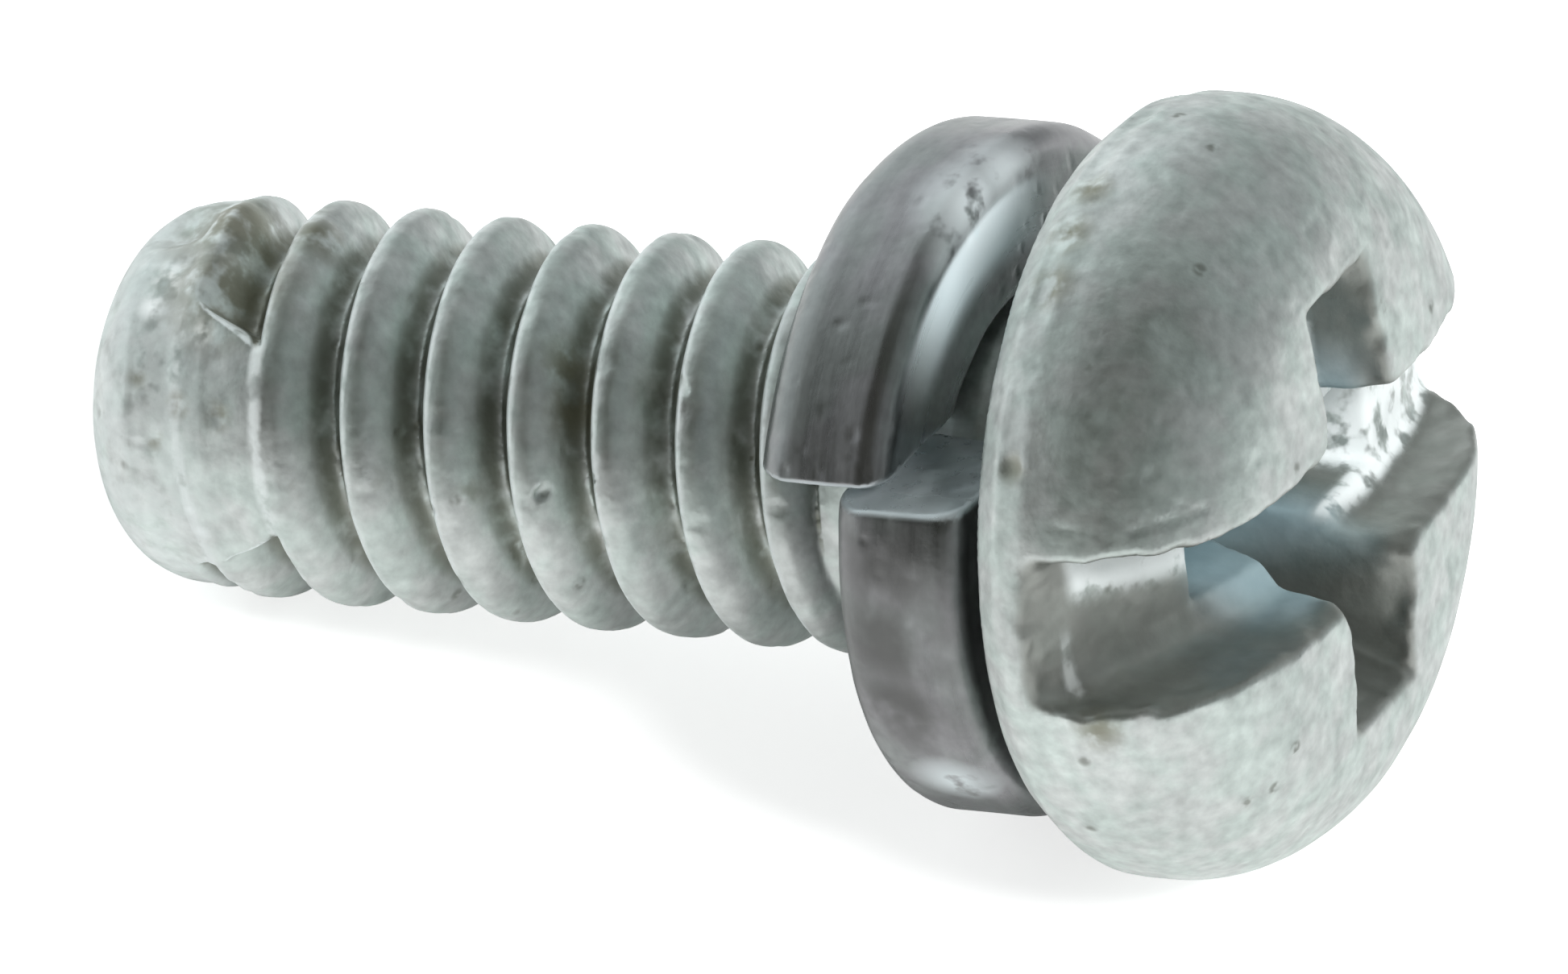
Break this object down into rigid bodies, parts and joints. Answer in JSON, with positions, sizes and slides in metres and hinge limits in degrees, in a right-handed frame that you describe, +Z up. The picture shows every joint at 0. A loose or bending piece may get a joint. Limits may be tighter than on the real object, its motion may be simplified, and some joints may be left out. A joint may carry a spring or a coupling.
{
  "type": "machine screw",
  "caption": "Short steel machine screw with a pan head, a combined slot and cross recess, a coarse right-hand thread and a captive split lock washer.",
  "frame": {"origin": "centre of the bounding box on the floor that the screw lies on", "axes": "+X along the floor towards the head, +Z up; the screw's axis leans 10.8 degrees up from +X towards the head"},
  "size_m": [0.012, 0.0068, 0.0067],
  "materials": {
    "zinc_plated_steel": "satin zinc plate, worn and pitted",
    "spring_steel": "satin zinc plate, drawn streaks"
  },
  "bodies": {
    "screw": {"screw": "zinc_plated_steel"},
    "lock_washer": {"lock_washer": "spring_steel"}
  },
  "joints": [
    {"name": "washer_spin", "type": "hinge", "parent": "screw", "child": "lock_washer", "pos_m": [0.00217, 0, 0.00302], "axis": [0.9824, 0, 0.1867], "continuous": true}
  ]
}
